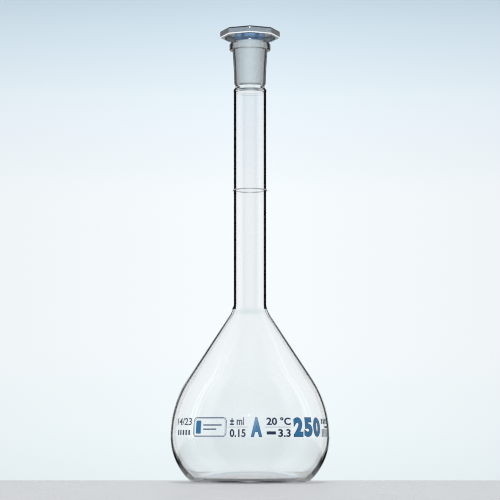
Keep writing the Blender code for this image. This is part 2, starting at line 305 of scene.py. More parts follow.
def head_material(name, see_through, *stops):
    """Natural polyethylene: cloudy, with painted shade that darkens it towards its outline, and the faint
    flow lines of moulding.
    """
    made, tree, shader = new_material(name)
    cloud = noise(tree, 260, 4.0, (1, 1, 4))
    colour = ramp(tree, cloud, (0.3, (0.64, 0.74, 0.83)), (0.7, (0.72, 0.81, 0.90)))
    shade = painted_outline_shade(tree, *stops)
    tree.links.new(multiplied(tree, colour, shade), shader.inputs["Base Color"])
    shader.inputs["Transmission Weight"].default_value = see_through
    shader.inputs["Roughness"].default_value = 0.12
    shader.inputs["IOR"].default_value = PLASTIC_IOR
    bump(tree, shader, noise(tree, 500, 2.0, (1, 1, 2)), 0.006 * MM)
    return made


def painted_glow_lip_material():
    """Painted light on the lower edge of the head: whiter than the rest, and glowing though it is no lamp."""
    made, tree, shader = new_material("painted_glow_lip_polyethylene")
    colour = ramp(tree, noise(tree, 900, 2.0), (0.3, (0.93, 0.95, 0.97)), (0.7, (1.0, 1.0, 1.0)))
    tree.links.new(colour, shader.inputs["Base Color"])
    tree.links.new(colour, shader.inputs["Emission Color"])
    # painted light: the lip glows
    shader.inputs["Emission Strength"].default_value = 0.5
    shader.inputs["Transmission Weight"].default_value = 0.05
    shader.inputs["Roughness"].default_value = 0.15
    shader.inputs["IOR"].default_value = PLASTIC_IOR
    return made


# ---------------------------------------------------------------- outlines


def arc(centre_r, centre_z, radius, start, end, steps, wall_start=0.0, wall_end=0.0):
    """Points of an arc, whose radius a wall takes off evenly from its start to its end."""
    points = []
    for step in range(steps + 1):
        share = step / steps
        angle = start + (end - start) * share
        reach = radius - wall_start - (wall_end - wall_start) * share
        points.append((centre_r + reach * math.cos(angle), centre_z + reach * math.sin(angle)))
    return points


def rounded(corners, steps=6):
    """An outline through (radius, height, rounding) corners, each turned into an arc of its rounding."""
    points = []
    count = len(corners)
    for i, (r, z, rounding) in enumerate(corners):
        here = Vector((r, z))
        before = Vector(corners[i - 1][:2]) - here
        after = Vector(corners[(i + 1) % count][:2]) - here
        if rounding == 0:
            points.append((r, z))
            continue
        half = before.angle(after) / 2
        back = rounding / math.tan(half)
        centre = here + (before.normalized() + after.normalized()).normalized() * (rounding / math.sin(half))
        first = here + before.normalized() * back - centre
        last = here + after.normalized() * back - centre
        turn = first.angle_signed(last)
        for step in range(steps + 1):
            angle = -turn * step / steps
            spoke = Vector(
                (
                    first.x * math.cos(angle) - first.y * math.sin(angle),
                    first.x * math.sin(angle) + first.y * math.cos(angle),
                )
            )
            points.append(tuple(centre + spoke))
    return points


def stretched(points, closed, spacing=0.8 * MM):
    """The same outline with its long stretches cut, so that shading follows each bend closely."""
    filled = []
    ends = points[1:] + points[:1] if closed else points[1:]
    for (r0, z0), (r1, z1) in zip(points, ends):
        count = max(1, math.ceil(math.hypot(r1 - r0, z1 - z0) / spacing))
        for i in range(count):
            filled.append((r0 + (r1 - r0) * i / count, z0 + (z1 - z0) * i / count))
    return filled if closed else filled + points[-1:]


def bulb_side(inside):
    """The bulb's outline from the seam to the axis: inside is 1 for the inside of its wall, or 0."""
    wall = {key: value * inside for key, value in WALLS.items()}
    seam = math.pi + BULB_SEAM_ANGLE
    top = math.pi / 2
    cone = math.pi + CONE_ANGLE
    return (
        arc(FILLET_CENTRE_R, FILLET_Z, NECK_FILLET_R, seam, cone, 10, -wall["neck"], -wall["cone"])
        + arc(BULB_R - SHOULDER_R, EQUATOR_Z, SHOULDER_R, CONE_ANGLE, 0, 30, wall["cone"], wall["equator"])
        + arc(LOWER_CENTRE_R, EQUATOR_Z, LOWER_R, 0, -HEEL_ANGLE, 24, wall["equator"], wall["lower"])[1:]
        + arc(HEEL_CENTRE_R, HEEL_R, HEEL_R, -HEEL_ANGLE, -top, 12, wall["lower"], wall["heel"])[1:]
        + arc(0, PUSH_UP - DOME_R, DOME_R, top - DOME_ANGLE, top, 16, -wall["heel"], -wall["base"])
    )


def bore_radius(z):
    return MOUTH_R - TAPER * (RIM_Z - z)


def on_stretch(point, start, end):
    """Whether a point lies on the straight stretch between two others."""
    whole = math.dist(start, end)
    return math.dist(start, point) + math.dist(point, end) < whole + 0.001 * MM


# ---------------------------------------------------------------- mesh helpers


def show(name, mesh, body, slot, *nodes):
    """A piece from a mesh: linked, riding on its body and standing for its CAD nodes."""
    piece = bpy.data.objects.new(name, mesh)
    bpy.context.scene.collection.objects.link(piece)
    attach(piece, body)
    if nodes:
        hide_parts(*nodes)
    return piece


def band_between(ring, following):
    """Faces between two rings of vertices; a ring that is one point over and over gives triangles."""
    faces = []
    for j in range(len(ring)):
        k = (j + 1) % len(ring)
        corners = [ring[j], following[j], following[k], ring[k]]
        faces.append([c for n, c in enumerate(corners) if c != corners[n - 1]])
    return faces


def smooth_mesh(name, verts, faces, materials, slots):
    mesh = bpy.data.meshes.new(name)
    mesh.from_pydata(verts, [], faces)
    for material in materials:
        mesh.materials.append(material)
    mesh.polygons.foreach_set("material_index", slots)
    mesh.shade_smooth()
    mesh.set_sharp_from_angle(angle=SHARP)
    return mesh


def spun(name, outline, materials, slot_of=None, wave=None, closed=True):
    """A turned mesh. slot_of(r, z) picks a stretch's material, wave(r, z, turn) moves a point in or out."""
    outline = stretched(outline, closed)
    verts = []
    rings = []
    for r, z in outline:
        if r < TINY:
            rings.append([len(verts)] * SEGMENTS)
            verts.append((0, 0, z))
            continue
        ring = []
        for j in range(SEGMENTS):
            turn = 2 * math.pi * j / SEGMENTS
            reach = r + (wave(r, z, turn) if wave else 0)
            ring.append(len(verts))
            verts.append((reach * math.cos(turn), reach * math.sin(turn), z))
        rings.append(ring)
    faces = []
    slots = []
    count = len(outline)
    for i in range(count if closed else count - 1):
        ring, following = rings[i], rings[(i + 1) % count]
        middle = [(a + b) / 2 for a, b in zip(outline[i], outline[(i + 1) % count])]
        faces += band_between(ring, following)
        slots += [slot_of(*middle) if slot_of else 0] * SEGMENTS
    return smooth_mesh(name, verts, faces, materials, slots)


# ---------------------------------------------------------------- glass


BEAD = 0.03 * MM  # how far the seam between bulb and neck stands out


def blown_wave(r, z, turn):
    """The uneven wall of blown glass, on the inside only."""
    if z > CONE_TOP_Z or r > outer_radius(z) - 0.4 * MM:
        return 0.0
    share = min(1.0, r / BULB_R)
    slow = math.sin(2 * turn + 1.1) * math.sin(z / (17 * MM)) + 0.6 * math.sin(3 * turn - z / (11 * MM))
    return 0.05 * MM * share * slow


def neck_wave(r, z, turn):
    """Faint lines along the drawn tube, on its inside, and a bump on the lower seam's left."""
    if r > NECK_R - 0.05 * MM:
        away = (z - SEAM_BUMP_Z) / (0.9 * MM)
        side = max(0.0, -math.cos(turn)) ** 60
        return 0.35 * MM * side * math.exp(-away * away)
    lines = math.sin(5 * turn + 0.4) + math.sin(9 * turn + 2.0) + 0.7 * math.sin(14 * turn + 1.0)
    return 0.008 * MM * lines


def outer_radius(z):
    """The bulb's outer radius at a height."""
    if z > EQUATOR_Z + SHOULDER_R * math.sin(CONE_ANGLE):
        return NECK_R + math.tan(CONE_ANGLE) * (CONE_TOP_Z - z)
    if z > EQUATOR_Z:
        return BULB_R - SHOULDER_R + math.sqrt(SHOULDER_R**2 - (z - EQUATOR_Z) ** 2)
    return BULB_R - LOWER_R + math.sqrt(LOWER_R**2 - (EQUATOR_Z - z) ** 2)


def build_bulb(glass, weld):
    inside = bulb_side(1)[::-1]
    outside = bulb_side(0)
    inside[0] = (0.0, inside[0][1])
    outside[-1] = (0.0, outside[-1][1])
    # the seam's bead stands out from the first stretch of the outside
    bead = [(outside[0][0] + BEAD, outside[0][1]), (outside[1][0] + BEAD / 2, outside[1][1])]
    outline = inside + bead + outside[2:]

    def slot_of(r, z):
        return 1 if on_stretch((r, z), inside[-1], bead[0]) else 0

    mesh = spun("bulb_glass", outline, [glass, weld], slot_of, blown_wave, closed=False)
    return show("bulb_glass", mesh, "flask", "clear_glass", "bulb")


def weld_outside(z):
    """Outer radius where neck and socket are fused: neck, a small bead, then the waist under the socket."""
    share = eased((z - WELD_LOW_Z) / (WAIST_Z - WELD_LOW_Z))
    bead = 0.16 * MM * math.exp(-(((z - WELD_LOW_Z - 0.2 * MM) / (0.6 * MM)) ** 2))
    return NECK_R + (WAIST_R - NECK_R) * share + bead


def weld_inside(z):
    """Inner radius there: the wide bore of the neck closes in to the foot of the ground bore."""
    low = WELD_LOW_Z - 1.2 * MM
    share = eased((z - low) / (WELD_HIGH_Z - low))
    return NECK_BORE_R + (bore_radius(WELD_HIGH_Z) - NECK_BORE_R) * share


def eased(share):
    share = min(1.0, max(0.0, share))
    return share * share * (3 - 2 * share)


def spread(low, high, count):
    return [low + (high - low) * step / count for step in range(count + 1)]


def build_neck(glass, weld):
    wall = WALLS["neck"]
    seam = math.pi + BULB_SEAM_ANGLE
    top = spread(WELD_LOW_Z - 1.8 * MM, SOCKET_SEAM_Z, 18)
    outside = [(weld_outside(z), z) for z in reversed(top)]
    outside += arc(FILLET_CENTRE_R, FILLET_Z, NECK_FILLET_R, math.pi, seam, 12)
    outside[-2] = (outside[-2][0] + BEAD / 2, outside[-2][1])
    outside[-1] = (outside[-1][0] + BEAD, outside[-1][1])
    inside = arc(FILLET_CENTRE_R, FILLET_Z, NECK_FILLET_R, seam, math.pi, 12, -wall, -wall)
    inside += [(weld_inside(z), z) for z in top]
    outline = outside + inside
    ends = [(outside[-1], inside[0]), (inside[-1], outside[0])]

    def slot_of(r, z):
        return 1 if any(on_stretch((r, z), *end) for end in ends) else 0

    mesh = spun("neck_glass", outline, [glass, weld], slot_of, neck_wave)
    return show("neck_glass", mesh, "flask", "clear_glass", "neck_tube")


def build_socket(glass, ground, weld):
    collar_foot = RIM_Z - 3.8 * MM
    seam = SOCKET_SEAM_Z
    ground_foot = seam + 2.4 * MM
    corners = [
        (MOUTH_R + 0.35 * MM, RIM_Z, 0.15 * MM),
        (COLLAR_R - 0.75 * MM, RIM_Z, 0.4 * MM),
        (COLLAR_R, RIM_Z - 1.0 * MM, 0.4 * MM),
        (COLLAR_R, collar_foot, 0.45 * MM),
        (8.75 * MM, collar_foot - 0.2 * MM, 0.5 * MM),
        (8.45 * MM, collar_foot - 4.0 * MM, 3.0 * MM),
        (8.03 * MM, collar_foot - 11.0 * MM, 3.0 * MM),
        (7.86 * MM, seam + 2.6 * MM, 0.4 * MM),
        (WAIST_R, WAIST_Z + 0.3 * MM, 0.4 * MM),
    ]
    outline = rounded(corners + [(bore_radius(seam), seam, 0)])[:-1]
    outline += [(weld_outside(z), z) for z in reversed(spread(seam, WAIST_Z, 8))]
    outline += [(weld_inside(z), z) for z in spread(seam, WELD_HIGH_Z, 6)]
    outline += [
        (bore_radius(ground_foot), ground_foot),
        (bore_radius(RIM_Z - 0.4 * MM), RIM_Z - 0.4 * MM),
        (MOUTH_R + 0.1 * MM, RIM_Z - 0.1 * MM),
    ]

    def slot_of(r, z):
        if abs(z - seam) < TINY:
            return 2
        return 1 if r < bore_radius(z) + 0.01 * MM and z > ground_foot else 0

    mesh = spun("socket_glass", outline, [glass, ground, weld], slot_of)
    return show("socket_glass", mesh, "flask", "ground_glass", "ground_socket")


def build_ring_mark(enamel):
    outer = RING_MARK_R
    inner = NECK_R + 0.01 * MM
    half = 0.27 * MM
    corners = [
        (outer, RING_MARK_Z + half, 0.12 * MM),
        (outer, RING_MARK_Z - half, 0.12 * MM),
        (inner, RING_MARK_Z - half, 0),
        (inner, RING_MARK_Z + half, 0),
    ]
    mesh = spun("ring_mark_enamel", rounded(corners), [enamel])
    return show("ring_mark_enamel", mesh, "flask", "ring_enamel", "ring_mark")


# ---------------------------------------------------------------- stopper


HEAD_LOW_Z = RIM_Z + 2.4 * MM
RECESS_R = 12.6 * MM
RECESS_TOP_Z = HEAD_LOW_Z + 2.0 * MM
HEAD_POINTS = 16  # along each of the eight sides
HEAD_BANDS = (0, 2, 7, 8, 11)  # the first band of flat top, upper edge, side, lip and underside; each has its own painted shade, and the lip painted light
CORNER_POWER = 80  # higher is a sharper corner


def octagon_reach(turn):
    """How far an octagon with soft corners, one of them at turn 0, reaches; a corner reaches 1."""
    total = sum(max(0.0, math.cos(turn - (k + 0.5) * math.pi / 4)) ** CORNER_POWER for k in range(8))
    corner = (2 * math.cos(math.pi / 8) ** CORNER_POWER) ** (-1 / CORNER_POWER)
    return total ** (-1 / CORNER_POWER) / corner


def head_turns():
    """Angles round the head, close together at its corners."""
    turns = []
    for side in range(8):
        for step in range(HEAD_POINTS):
            share = step / HEAD_POINTS
            crowded = share - 0.93 * math.sin(2 * math.pi * share) / (2 * math.pi)
            turns.append((side + crowded) * math.pi / 4)
    return turns


def head_rings():
    """(kind, reach, height) down the octagonal side, up the round recess and across its ceiling."""
    upper = 0.5 * MM
    lower = 0.55 * MM
    lip = 0.25 * MM
    quarter = math.pi / 2
    upper_edge = arc(HEAD_R - upper, HEAD_TOP_Z - upper, upper, quarter, 0, 4)
    lower_edge = arc(HEAD_R - lower, HEAD_LOW_Z + lower, lower, 0, -quarter, 4)
    octagons = [(HEAD_R * 0.5, HEAD_TOP_Z), *upper_edge, (HEAD_R, HEAD_TOP_Z - upper - 0.2 * MM), *lower_edge]
    circles = arc(RECESS_R + lip, HEAD_LOW_Z + lip, lip, -quarter, -2 * quarter, 3)
    circles.append((RECESS_R - 0.15 * MM, RECESS_TOP_Z - 0.3 * MM))
    circles.append((RECESS_R - 0.5 * MM, RECESS_TOP_Z))
    circles.append((RECESS_R * 0.5, RECESS_TOP_Z))
    rings = [("point", 0.0, HEAD_TOP_Z)]
    rings += [("octagon", r, z) for r, z in octagons]
    rings += [("circle", r, z) for r, z in circles]
    return rings + [("point", 0.0, RECESS_TOP_Z)]


def build_head(*shaded_copies):
    """A loft of rings, whose bands take their shaded copies of one plastic in the order of HEAD_BANDS."""
    turns = head_turns()
    verts = []
    rings = []
    for kind, reach, z in head_rings():
        if kind == "point":
            rings.append([len(verts)] * len(turns))
            verts.append((0, 0, z))
            continue
        ring = []
        for turn in turns:
            r = reach * (octagon_reach(turn) if kind == "octagon" else 1)
            ring.append(len(verts))
            verts.append((r * math.sin(turn), -r * math.cos(turn), z))
        rings.append(ring)
    faces = []
    slots = []
    for i, (ring, following) in enumerate(zip(rings, rings[1:])):
        faces += band_between(ring, following)
        slots += [sum(i >= start for start in HEAD_BANDS) - 1] * len(turns)
    mesh = smooth_mesh("head_moulding", verts, faces, shaded_copies, slots)
    return show("head_moulding", mesh, "stopper", "head_plastic", "stopper_head")


def build_plug(plastic):
    """A cone with a solid top and a hollow below it."""
    clear = 0.08 * MM
    top = RECESS_TOP_Z - 0.05 * MM
    web = RIM_Z - 1.0 * MM
    wall = 1.2 * MM
    foot = PLUG_LOW_Z

    def outer(z):
        return bore_radius(z) - clear

    corners = [
        (0, web, 0),
        (outer(web) - wall - 0.3 * MM, web, 0.8 * MM),
        (outer(foot) - wall, foot, 0.3 * MM),
        (outer(foot), foot, 0.5 * MM),
        (outer(top), top, 0.2 * MM),
        (0, top, 0),
    ]
    mesh = spun("plug_moulding", rounded(corners)[::-1], [plastic], closed=False)
    return show("plug_moulding", mesh, "stopper", "plug_plastic", "stopper_plug")


# ---------------------------------------------------------------- print


PRINT_Z = (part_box("enamel_digit_0")[0].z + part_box("enamel_digit_0")[1].z) / 2
PRINT_HEIGHT = 9.6 * MM
PRINT_LIFT = 0.02 * MM
PRINT_THICKNESS = 0.05 * MM
PRINT_STEP = 1.2 * MM
TOP = PRINT_HEIGHT / 2
ROW = 0.95 * MM  # how far each of the two rows of small print stays from the band's middle
RULE = 0.12 * MM  # half the height of the line between them


def on_bulb(across, up, lift):
    radius = SHOULDER_R if up > 0 else LOWER_R
    slope = up / radius
    r = BULB_R - radius + (radius + lift) * math.cos(slope)
    z = EQUATOR_Z + (radius + lift) * math.sin(slope)
    turn = across / BULB_R
    return Vector((r * math.sin(turn), -r * math.cos(turn), z))


def flat_mesh(data):
    drawn = bpy.data.objects.new("flat", data)
    bpy.context.scene.collection.objects.link(drawn)
    evaluated = drawn.evaluated_get(bpy.context.evaluated_depsgraph_get())
    mesh = bpy.data.meshes.new_from_object(evaluated)
    bpy.data.objects.remove(drawn)
    return mesh


def lettering(text, left, right, low, high, bold=0.03, lift=PRINT_LIFT):
    """A thin solid of text that fills a field.

    Left and right are degrees round the bulb, low and high are measured from the band's middle.
    """
    curve = bpy.data.curves.new("text", "FONT")
    curve.body = text
    curve.resolution_u = 6
    curve.extrude = 0.5
    curve.offset = bold
    return wrapped(flat_mesh(curve), left, right, low, high, lift)


def outlined(loops):
    """A flat solid between closed loops of points."""
    curve = bpy.data.curves.new("outline", "CURVE")
    curve.dimensions = "2D"
    curve.fill_mode = "BOTH"
    curve.extrude = 0.5
    for loop in loops:
        spline = curve.splines.new("POLY")
        spline.points.add(len(loop) - 1)
        spline.use_cyclic_u = True
        for point, (x, y) in zip(spline.points, loop):
            point.co = (x, y, 0, 1)
    return flat_mesh(curve)


def soft_rectangle(width, height, corner, inset=0.0):
    """Points of a rectangle with round corners, drawn in by an inset."""
    loop = []
    radius = max(corner - inset, 0.05 * MM)
    for quarter in range(4):
        right = width - inset - radius if quarter in (0, 3) else inset + radius
        top = height - inset - radius if quarter in (0, 1) else inset + radius
        for step in range(7):
            angle = math.pi / 2 * (quarter + step / 6)
            loop.append((right + radius * math.cos(angle), top + radius * math.sin(angle)))
    return loop


def bar(left, right, low, high, corner=0.15 * MM):
    width = math.radians(right - left) * BULB_R
    loops = [soft_rectangle(width, high - low, corner)]
    return wrapped(outlined(loops), left, right, low, high)


def border(left, right, low, high, line, corner):
    width = math.radians(right - left) * BULB_R
    loops = [soft_rectangle(width, high - low, corner), soft_rectangle(width, high - low, corner, line)]
    return wrapped(outlined(loops), left, right, low, high)


def wrapped(mesh, left, right, low, high, lift=PRINT_LIFT):
    """Fits a flat extruded mesh to a field and wraps it on the bulb; the result is a bmesh."""
    shape = bmesh.new()
    shape.from_mesh(mesh)
    bpy.data.meshes.remove(mesh)
    least = Vector([min(v.co[i] for v in shape.verts) for i in range(3)])
    most = Vector([max(v.co[i] for v in shape.verts) for i in range(3)])
    start = math.radians(left) * BULB_R
    width = math.radians(right - left) * BULB_R
    base = PRINT_Z - EQUATOR_Z + low
    for vertex in shape.verts:
        x = start + (vertex.co.x - least.x) / (most.x - least.x) * width
        y = base + (vertex.co.y - least.y) / (most.y - least.y) * (high - low)
        vertex.co = (x, y, lift + (PRINT_THICKNESS if vertex.co.z > 0 else 0))
    bmesh.ops.remove_doubles(shape, verts=shape.verts, dist=0.002 * MM)
    slice_up(shape, 0, start, width)
    slice_up(shape, 1, base, high - low)
    for vertex in shape.verts:
        vertex.co = on_bulb(*vertex.co)
    bmesh.ops.recalc_face_normals(shape, faces=shape.faces)
    return shape


def slice_up(shape, direction, start, length):
    count = math.ceil(length / PRINT_STEP)
    for i in range(1, count):
        point = Vector()
        point[direction] = start + length * i / count
        normal = Vector()
        normal[direction] = 1
        everything = shape.verts[:] + shape.edges[:] + shape.faces[:]
        bmesh.ops.bisect_plane(shape, geom=everything, dist=TINY, plane_co=point, plane_no=normal)


def printed(name, slot, cad_node, *layers):
    """Joins (enamel, wrapped shape) layers into one piece."""
    whole = bmesh.new()
    materials = []
    for enamel, shape in layers:
        if enamel not in materials:
            materials.append(enamel)
        for face in shape.faces:
            face.material_index = materials.index(enamel)
        part = bpy.data.meshes.new("part")
        shape.to_mesh(part)
        shape.free()
        whole.from_mesh(part)
        bpy.data.meshes.remove(part)
    mesh = bpy.data.meshes.new(name)
    whole.to_mesh(mesh)
    whole.free()
    for enamel in materials:
        mesh.materials.append(enamel)
    return show(name, mesh, "flask", slot, cad_node)


def big_sign(name, cad_node, text, left, right, blue, dark):
    """A bold sign with a dark edge: a wide dark layer under a narrower blue one."""
    rim = 0.28 * MM
    turn = math.degrees(rim / BULB_R)
    lift = PRINT_LIFT + PRINT_THICKNESS
    under = lettering(text, left, right, -TOP, TOP, 0.065)
    over = lettering(text, left + turn, right - turn, -TOP + rim, TOP - rim, 0.035, lift)
    return printed(name, "blue_enamel", cad_node, (dark, under), (blue, over))


def small_print(dark, grey):
    """The two-row fields, in the order joint size, tolerance, temperature and unit."""
    foot = -TOP + 0.9 * MM
    strokes = [(dark, bar(-62.5 + 3.4 * i, -60.9 + 3.4 * i, foot, -ROW - 0.4 * MM)) for i in range(5)]
    joint_size = printed(
        "print_joint_size",
        "dark_enamel",
        "enamel_joint_size",
        (dark, lettering("14/23", -64.0, -46.0, ROW, TOP - 0.3 * MM, 0.01)),
        *strokes,
    )
    tolerance = printed(
        "print_tolerance",
        "blue_enamel",
        "enamel_tolerance",
        (dark, lettering("± ml", -14.2, -4.2, ROW, TOP)),
        (grey, bar(-15.1, -1.5, -RULE, RULE, RULE / 2)),
        (dark, lettering("0.15", -14.2, -3.0, -TOP, -ROW)),
    )
    temperature = printed(
        "print_temperature",
        "blue_enamel",
        "enamel_temperature",
        (dark, lettering("20 °C", 11.6, 30.0, ROW, TOP)),
        (grey, bar(10.6, 30.4, -RULE, RULE, RULE / 2)),
        (dark, bar(11.6, 18.2, -TOP + 1.2 * MM, -ROW - 1.1 * MM)),
        (dark, lettering("3.3", 20.0, 29.6, -TOP, -ROW)),
    )
    head = TOP - 0.6 * MM
    marks = [(dark, bar(62.6 + 3.2 * i, 64.4 + 3.2 * i, ROW + 0.6 * MM, head)) for i in range(4)]
    hatch = [(grey, bar(62.4 + 2.6 * i, 63.9 + 2.6 * i, -TOP, -ROW)) for i in range(6)]
    unit = printed(
        "print_unit",
        "dark_enamel",
        "enamel_unit",
        *marks,
        (dark, bar(68.0, 77.4, -0.5 * MM, 0.5 * MM)),
        *hatch,
    )
    return [joint_size, tolerance, temperature, unit]


def build_print(blue, navy, dark, grey):
    """The whole printed band; its pieces."""
    pieces = [
        big_sign("print_digit_2", "enamel_digit_2", "2", 32.1, 40.6, blue, navy),
        big_sign("print_digit_5", "enamel_digit_5", "5", 41.6, 50.1, blue, navy),
        big_sign("print_digit_0", "enamel_digit_0", "0", 51.1, 59.9, blue, navy),
        big_sign("print_class", "enamel_class_letter", "A", 0.5, 8.5, blue, navy),
    ]
    marking = printed(
        "print_marking_frame",
        "blue_enamel",
        "enamel_marking_frame",
        (navy, border(-43.8, -16.6, -TOP, TOP, 0.32 * MM, 2.0 * MM)),
        (grey, border(-42.9, -17.5, -TOP + 0.62 * MM, TOP - 0.62 * MM, 0.18 * MM, 1.5 * MM)),
        (blue, bar(-41.3, -36.8, -TOP + 1.6 * MM, TOP - 1.6 * MM, 0.5 * MM)),
        (navy, bar(-34.8, -20.2, 0.7 * MM, 1.3 * MM)),
        (navy, bar(-34.8, -24.2, -1.3 * MM, -0.7 * MM)),
    )
    return pieces + small_print(dark, grey) + [marking]


# ---------------------------------------------------------------- studio


FIELD_FULL = 0.21  # sine of the angle to the side up to which the bright field is even
FIELD_EDGE = 0.30  # and where it ends
WALL_BAND = (25, 33, 112, 130)  # where the grey walls start, are full, begin to fade and end, in degrees
STRIPS = (84, 76, -96, -88, -81)  # narrow lights to the sides, in degrees from straight ahead
STRIP_EDGES = (-1.6, -0.8, 0.8, 1.6)
WALL_LIGHT = 0.8
GLOW_LIGHT = 0.25
DOME_LIGHT = 0.3
MATT_LOSS = 0.8  # how much less of walls, strips and glow a matt surface gets than a mirror
SKY_LOW, SKY_HIGH = -0.04, 0.50  # slopes that the colours below run between
SKY = (
    (0.000, (0.81, 0.89, 0.92)),
    (0.077, (0.88, 0.955, 0.98)),
    (0.156, (0.93, 0.975, 1.0)),
    (0.300, (0.93, 0.975, 1.0)),
    (0.400, (0.82, 0.91, 0.97)),
    (0.467, (0.66, 0.79, 0.88)),
    (0.510, (0.54, 0.66, 0.76)),
    (0.800, (0.88, 0.91, 0.93)),
)


def angle_band(tree, angle, start, full, until, end):
    """1 between two angles and 0 outside them, softly; all in degrees."""
    rise = smooth_step(tree, angle, math.radians(start), math.radians(full))
    return maths(tree, "MULTIPLY", rise, smooth_step(tree, angle, math.radians(end), math.radians(until)))


def bright_card(tree, x, y, z):
    """A tall bright card that stays behind the flask, in the colours of SKY, and black beside it."""
    up = maths(tree, "DIVIDE", y, maths(tree, "MAXIMUM", z, 0.01))
    aside = maths(tree, "ABSOLUTE", x)
    ahead = smooth_step(tree, z, 0.05, 0.3)
    card = maths(tree, "MULTIPLY", smooth_step(tree, aside, FIELD_EDGE, FIELD_FULL), ahead)
    card = maths(tree, "MULTIPLY", card, maths(tree, "SUBTRACT", 1.0, maths(tree, "MULTIPLY", aside, 0.5)))
    card = maths(tree, "MULTIPLY", card, smooth_step(tree, up, -1.2, -0.6))
    height = node(tree, "ShaderNodeMapRange", From_Min=SKY_LOW, From_Max=SKY_HIGH)
    tree.links.new(up, height.inputs["Value"])
    lit = node(tree, "ShaderNodeMix", data_type="RGBA")
    tree.links.new(card, lit.inputs["Factor"])
    lit.inputs["A"].default_value = (0.003, 0.003, 0.003, 1)
    tree.links.new(ramp(tree, height.outputs["Result"], *SKY), lit.inputs["B"])
    return lit.outputs["Result"]


def room_light(tree, x, y, z, world_up):
    """Grey walls and narrow lights to the sides, a glow behind the camera and a dome overhead."""
    turn = maths(tree, "ARCTAN2", x, z)  # 0 straight ahead, rising to the right
    walls = angle_band(tree, maths(tree, "ABSOLUTE", turn), *WALL_BAND)
    strips = 0.0
    for middle in STRIPS:
        strip = angle_band(tree, turn, *[middle + edge for edge in STRIP_EDGES])
        strips = maths(tree, "ADD", strips, strip)
    room = maths(tree, "ADD", maths(tree, "MULTIPLY", walls, WALL_LIGHT), strips)
    room = maths(tree, "MULTIPLY", room, smooth_step(tree, maths(tree, "ABSOLUTE", y), 0.96, 0.80))
    glow = maths(tree, "MULTIPLY", smooth_step(tree, z, -0.70, -0.99), GLOW_LIGHT)
    room = maths(tree, "ADD", room, glow)
    path = node(tree, "ShaderNodeLightPath")
    matt = maths(tree, "MULTIPLY", path.outputs["Is Diffuse Ray"], MATT_LOSS)
    room = maths(tree, "MULTIPLY", room, maths(tree, "SUBTRACT", 1.0, matt))
    dome = maths(tree, "MULTIPLY", smooth_step(tree, world_up, 0.80, 0.95), DOME_LIGHT)
    return maths(tree, "ADD", room, dome)


def build_world():
    """What the glass shows, which no object stands for.

    Everything but the dome overhead is set in the camera's own directions,
    so the flask stands before the card from every side.
    """
    world = bpy.data.worlds.new("studio")
    bpy.context.scene.world = world
    world.use_nodes = True
    tree = world.node_tree
    tree.nodes.clear()
    place = node(tree, "ShaderNodeTexCoord")
    seen = node(tree, "ShaderNodeSeparateXYZ")
    tree.links.new(place.outputs["Camera"], seen.inputs[0])
    world_place = node(tree, "ShaderNodeSeparateXYZ")
    tree.links.new(place.outputs["Generated"], world_place.inputs[0])
    both = node(tree, "ShaderNodeMix", data_type="RGBA", blend_type="ADD")
    both.inputs["Factor"].default_value = 1.0
    tree.links.new(bright_card(tree, *seen.outputs), both.inputs["A"])
    tree.links.new(room_light(tree, *seen.outputs, world_place.outputs[2]), both.inputs["B"])
    back = node(tree, "ShaderNodeBackground")
    tree.links.new(both.outputs["Result"], back.inputs["Color"])
    out = node(tree, "ShaderNodeOutputWorld")
    tree.links.new(back.outputs[0], out.inputs["Surface"])
    world.cycles.sampling_method = "MANUAL"
    world.cycles.sample_map_resolution = 1024


CAMERA_DISTANCE = 0.946
EYE_Z = 26.0 * MM
LENS = 136.2
SHIFT = 0.36


def build_camera():
    data = bpy.data.cameras.new("camera")
    camera = bpy.data.objects.new("camera", data)
    bpy.context.scene.collection.objects.link(camera)
    camera.location = (0, -CAMERA_DISTANCE, EYE_Z)
    camera.rotation_euler = (math.pi / 2, 0, 0)
    data.lens = LENS
    data.sensor_width = 36.0
    data.clip_start = 0.01
    bpy.context.scene.camera = camera
    # A level camera sees the whole flask by a rise of its lens. Raised views look straight at it instead.
    rise = data.driver_add("shift_y").driver
    height = rise.variables.new()
    height.name = "height"
    height.type = "TRANSFORMS"
    height.targets[0].id = camera
    height.targets[0].transform_type = "LOC_Z"
    rise.expression = f"{SHIFT} if height < {2 * EYE_Z} else 0.0"


COOL = (0.90, 0.96, 1.0)
FRONT_PLACE = (-0.03, 0.394, 0)  # in the camera's own directions
FRONT_DIP = 0.9 * math.atan2(FRONT_PLACE[1], CAMERA_DISTANCE)  # how far down a lamp there looks


def add_lamp(name, size, energy, parent, place, receivers=None, blockers=None):
    """A round area light that looks along its parent; it can be kept to some objects."""
    light = bpy.data.lights.new(name, "AREA")
    light.shape = "DISK"
    light.size = size
    light.energy = energy
    lamp = bpy.data.objects.new(name, light)
    bpy.context.scene.collection.objects.link(lamp)
    lamp.parent = parent
    lamp.location = place
    for role, members in (("receiver_collection", receivers), ("blocker_collection", blockers)):
        if members:
            group = bpy.data.collections.new(name + "_" + role)
            for member in members:
                group.objects.link(member)
            setattr(lamp.light_linking, role, group)
    return lamp


def front_lamp(name, size, energy, receivers, blockers=None):
    """A lamp above the camera that looks at the flask."""
    lamp = add_lamp(name, size, energy, bpy.context.scene.camera, FRONT_PLACE, receivers, blockers)
    lamp.rotation_euler.x = -FRONT_DIP
    return lamp


